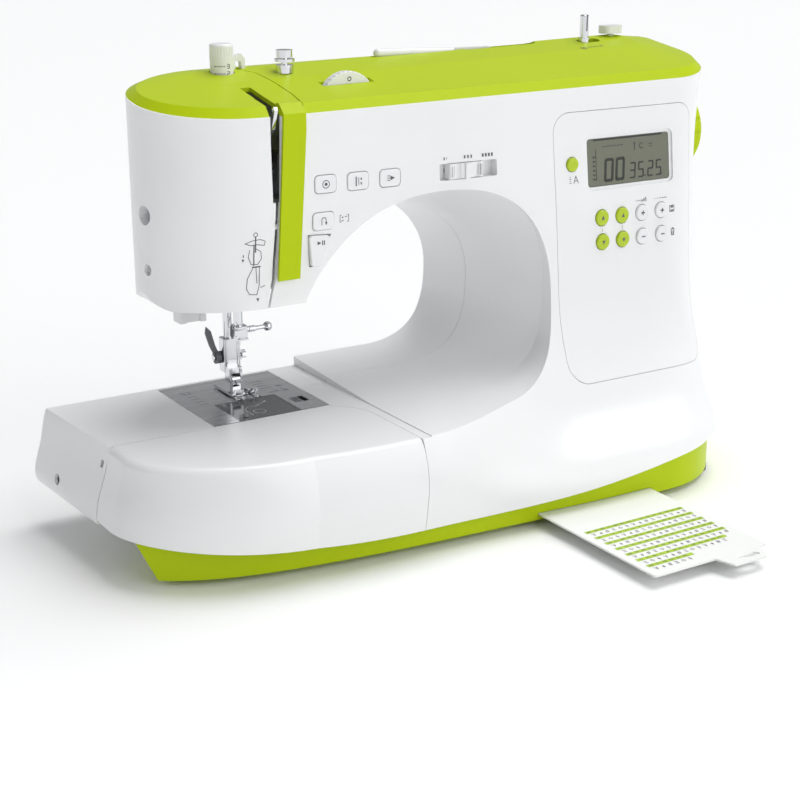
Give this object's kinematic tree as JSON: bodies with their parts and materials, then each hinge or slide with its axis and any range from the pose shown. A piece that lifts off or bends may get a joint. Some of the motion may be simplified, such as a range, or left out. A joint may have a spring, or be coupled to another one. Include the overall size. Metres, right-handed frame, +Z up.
{
  "type": "sewing machine",
  "caption": "Free-arm electronic sewing machine with a display panel, front push buttons, slide-off accessory box and pull-out stitch card.",
  "frame": {"origin": "on the table, under the middle of the bounding box", "axes": "+X along the arm towards the handwheel, +Y away from the sewer, +Z up"},
  "size_m": [0.487, 0.3, 0.301],
  "materials": {
    "white_shell": "glossy moulded shell",
    "green_shell": "glossy moulded shell, lime",
    "panel_white": "glossy fascia",
    "white_button": "glossy button",
    "green_button": "glossy button, lime",
    "display": "grey-green display behind a clear window",
    "plate_steel": "brushed plate",
    "smoked_plastic": "smoked clear cover",
    "grey_plastic": "satin",
    "chrome_part": "polished",
    "black_plastic": "satin",
    "shaft_steel": "ground",
    "bobbin_clear": "clear moulding",
    "cast_frame": "die cast",
    "belt_rubber": "matt",
    "foot_rubber": "matt",
    "card_plastic": "printed card"
  },
  "bodies": {
    "machine": {"base_tray": "green_shell", "rubber_feet": "foot_rubber", "front_cover": "white_shell", "rear_cover": "white_shell", "face_cover": "white_shell", "top_cover": "green_shell", "head_cap": "green_shell", "free_arm_cover": "white_shell", "needle_plate": "plate_steel", "case_screws": "chrome_part", "control_panel": "panel_white", "lcd_display": "display", "chassis": "cast_frame", "drive_motor": "shaft_steel", "drive_belt": "belt_rubber", "winder_guide": "chrome_part", "thread_hook": "white_shell", "winder_stop": "white_shell", "power_inlet": "black_plastic", "bobbin_case": "black_plastic"},
    "main_shaft": {"upper_shaft": "shaft_steel", "handwheel": "green_shell"},
    "motor_rotor": {"motor_pulley": "shaft_steel"},
    "hook": {"rotary_hook": "shaft_steel"},
    "bobbin": {"bobbin": "bobbin_clear"},
    "needle_unit": {"needle_bar": "chrome_part", "needle_clamp": "chrome_part", "needle": "chrome_part"},
    "take_up_lever": {"take_up_lever": "chrome_part"},
    "presser_lifter": {"presser_lifter": "grey_plastic"},
    "presser_unit": {"presser_bar": "chrome_part", "foot_holder": "chrome_part"},
    "presser_foot": {"presser_foot": "chrome_part"},
    "foot_release_lever": {"foot_release_lever": "grey_plastic"},
    "feed_dogs": {"feed_dogs": "plate_steel"},
    "bobbin_cover": {"bobbin_cover": "smoked_plastic"},
    "cover_latch": {"cover_latch": "grey_plastic"},
    "accessory_box": {"accessory_box": "white_shell"},
    "reference_card": {"reference_card": "card_plastic"},
    "spool_pin": {"spool_pin": "white_shell"},
    "winder_spindle": {"winder_spindle": "chrome_part"},
    "pressure_dial": {"pressure_dial": "white_shell"},
    "tension_dial": {"tension_dial": "white_shell"},
    "speed_slider": {"speed_slider": "panel_white"},
    "power_switch": {"power_switch": "black_plastic"},
    "buttonhole_lever": {"buttonhole_lever": "white_shell"},
    "button_lock": {"button_lock": "white_button"},
    "button_needle": {"button_needle": "white_button"},
    "button_slow": {"button_slow": "white_button"},
    "button_reverse": {"button_reverse": "white_button"},
    "button_start": {"button_start": "white_button"},
    "button_mode": {"button_mode": "green_button"},
    "button_length_up": {"button_length_up": "green_button"},
    "button_length_down": {"button_length_down": "green_button"},
    "button_width_up": {"button_width_up": "green_button"},
    "button_width_down": {"button_width_down": "green_button"},
    "button_plus_left": {"button_plus_left": "white_button"},
    "button_plus_right": {"button_plus_right": "white_button"},
    "button_minus_left": {"button_minus_left": "white_button"},
    "button_minus_right": {"button_minus_right": "white_button"}
  },
  "joints": [
    {"name": "main_shaft_spin", "type": "hinge", "parent": "machine", "child": "main_shaft", "pos_m": [0, 0.112, 0.218], "axis": [1, 0, 0], "continuous": true},
    {"name": "motor_spin", "type": "hinge", "parent": "machine", "child": "motor_rotor", "pos_m": [0, 0.112, 0.096], "axis": [1, 0, 0], "continuous": true},
    {"name": "hook_spin", "type": "hinge", "parent": "machine", "child": "hook", "pos_m": [-0.118, 0.088, 0], "axis": [0, 0, 1], "continuous": true},
    {"name": "bobbin_spin", "type": "hinge", "parent": "machine", "child": "bobbin", "pos_m": [-0.118, 0.088, 0], "axis": [0, 0, 1], "continuous": true},
    {"name": "needle_stroke", "type": "slide", "parent": "machine", "child": "needle_unit", "axis": [0, 0, 1], "range_m": [-0.028, 0.002]},
    {"name": "take_up_swing", "type": "hinge", "parent": "machine", "child": "take_up_lever", "pos_m": [0, 0.096, 0.222], "axis": [-1, 0, 0], "range_deg": [-46, 4]},
    {"name": "lifter_turn", "type": "hinge", "parent": "machine", "child": "presser_lifter", "pos_m": [-0.112, 0.1424, 0.163], "axis": [0, -1, 0], "range_deg": [0, 30.2]},
    {"name": "presser_bar_lift", "type": "slide", "parent": "machine", "child": "presser_unit", "axis": [0, 0, 1], "range_m": [0, 0.006]},
    {"name": "foot_pivot", "type": "hinge", "parent": "presser_unit", "child": "presser_foot", "pos_m": [0, 0.1195, 0.082], "axis": [1, 0, 0], "range_deg": [-1.2, 1.2]},
    {"name": "foot_release", "type": "hinge", "parent": "presser_unit", "child": "foot_release_lever", "pos_m": [0, 0.13, 0.095], "axis": [1, 0, 0], "range_deg": [0, 10], "stiffness_Nm_per_rad": 0.02},
    {"name": "feed_motion", "type": "slide", "parent": "machine", "child": "feed_dogs", "axis": [0, 1, 0], "range_m": [-0.0018, 0.0018]},
    {"name": "bobbin_cover_lift", "type": "slide", "parent": "machine", "child": "bobbin_cover", "axis": [0, 0, 1], "range_m": [0, 0.015]},
    {"name": "cover_latch_slide", "type": "slide", "parent": "machine", "child": "cover_latch", "axis": [1, 0, 0], "range_m": [0, 0.003], "stiffness_N_per_m": 300},
    {"name": "accessory_box_pull", "type": "slide", "parent": "machine", "child": "accessory_box", "axis": [-1, 0, 0], "range_m": [0, 0.15]},
    {"name": "card_push", "type": "slide", "parent": "machine", "child": "reference_card", "axis": [0, 1, 0], "range_m": [0, 0.118]},
    {"name": "spool_pin_raise", "type": "hinge", "parent": "machine", "child": "spool_pin", "pos_m": [0.084, 0.128, 0.2796], "axis": [0, 1, 0], "range_deg": [0, 80]},
    {"name": "winder_engage", "type": "slide", "parent": "machine", "child": "winder_spindle", "axis": [1, 0, 0], "range_m": [0, 0.004]},
    {"name": "pressure_dial_turn", "type": "hinge", "parent": "machine", "child": "pressure_dial", "pos_m": [-0.1159, 0.124, 0.28], "axis": [0, 0, 1], "range_deg": [-150, 150]},
    {"name": "tension_dial_turn", "type": "hinge", "parent": "machine", "child": "tension_dial", "pos_m": [-0.0513, 0.084, 0.2587], "axis": [0, 1, 0], "range_deg": [-150, 150]},
    {"name": "speed_slide", "type": "slide", "parent": "machine", "child": "speed_slider", "axis": [1, 0, 0], "range_m": [-0.0058, 0.0099]},
    {"name": "power_rocker", "type": "hinge", "parent": "machine", "child": "power_switch", "pos_m": [0.1995, 0.1205, 0.0578], "axis": [0, 0, 1], "range_deg": [0, 14]},
    {"name": "buttonhole_pull", "type": "slide", "parent": "machine", "child": "buttonhole_lever", "axis": [0, 0, -1], "range_m": [0, 0.018]},
    {"name": "button_lock_press", "type": "slide", "parent": "machine", "child": "button_lock", "axis": [0, 1, 0], "range_m": [0, 0.0012], "stiffness_N_per_m": 800},
    {"name": "button_needle_press", "type": "slide", "parent": "machine", "child": "button_needle", "axis": [0, 1, 0], "range_m": [0, 0.0012], "stiffness_N_per_m": 800},
    {"name": "button_slow_press", "type": "slide", "parent": "machine", "child": "button_slow", "axis": [0, 1, 0], "range_m": [0, 0.0012], "stiffness_N_per_m": 800},
    {"name": "button_reverse_press", "type": "slide", "parent": "machine", "child": "button_reverse", "axis": [0, 1, 0], "range_m": [0, 0.0012], "stiffness_N_per_m": 800},
    {"name": "button_start_press", "type": "slide", "parent": "machine", "child": "button_start", "axis": [0, 1, 0], "range_m": [0, 0.0012], "stiffness_N_per_m": 800},
    {"name": "button_mode_press", "type": "slide", "parent": "machine", "child": "button_mode", "axis": [0, 1, 0], "range_m": [0, 0.0012], "stiffness_N_per_m": 800},
    {"name": "button_length_up_press", "type": "slide", "parent": "machine", "child": "button_length_up", "axis": [0, 1, 0], "range_m": [0, 0.0012], "stiffness_N_per_m": 800},
    {"name": "button_length_down_press", "type": "slide", "parent": "machine", "child": "button_length_down", "axis": [0, 1, 0], "range_m": [0, 0.0012], "stiffness_N_per_m": 800},
    {"name": "button_width_up_press", "type": "slide", "parent": "machine", "child": "button_width_up", "axis": [0, 1, 0], "range_m": [0, 0.0012], "stiffness_N_per_m": 800},
    {"name": "button_width_down_press", "type": "slide", "parent": "machine", "child": "button_width_down", "axis": [0, 1, 0], "range_m": [0, 0.0012], "stiffness_N_per_m": 800},
    {"name": "button_plus_left_press", "type": "slide", "parent": "machine", "child": "button_plus_left", "axis": [0, 1, 0], "range_m": [0, 0.0012], "stiffness_N_per_m": 800},
    {"name": "button_plus_right_press", "type": "slide", "parent": "machine", "child": "button_plus_right", "axis": [0, 1, 0], "range_m": [0, 0.0012], "stiffness_N_per_m": 800},
    {"name": "button_minus_left_press", "type": "slide", "parent": "machine", "child": "button_minus_left", "axis": [0, 1, 0], "range_m": [0, 0.0012], "stiffness_N_per_m": 800},
    {"name": "button_minus_right_press", "type": "slide", "parent": "machine", "child": "button_minus_right", "axis": [0, 1, 0], "range_m": [0, 0.0012], "stiffness_N_per_m": 800}
  ],
  "couplings": [
    {"joint": "motor_spin", "follows": "main_shaft_spin", "ratio": 3},
    {"joint": "hook_spin", "follows": "main_shaft_spin", "ratio": 2},
    {"joint": "take_up_swing", "follows": "needle_stroke", "rad_per_m": 28},
    {"joint": "lifter_turn", "follows": "presser_bar_lift", "rad_per_m": 87.266}
  ]
}
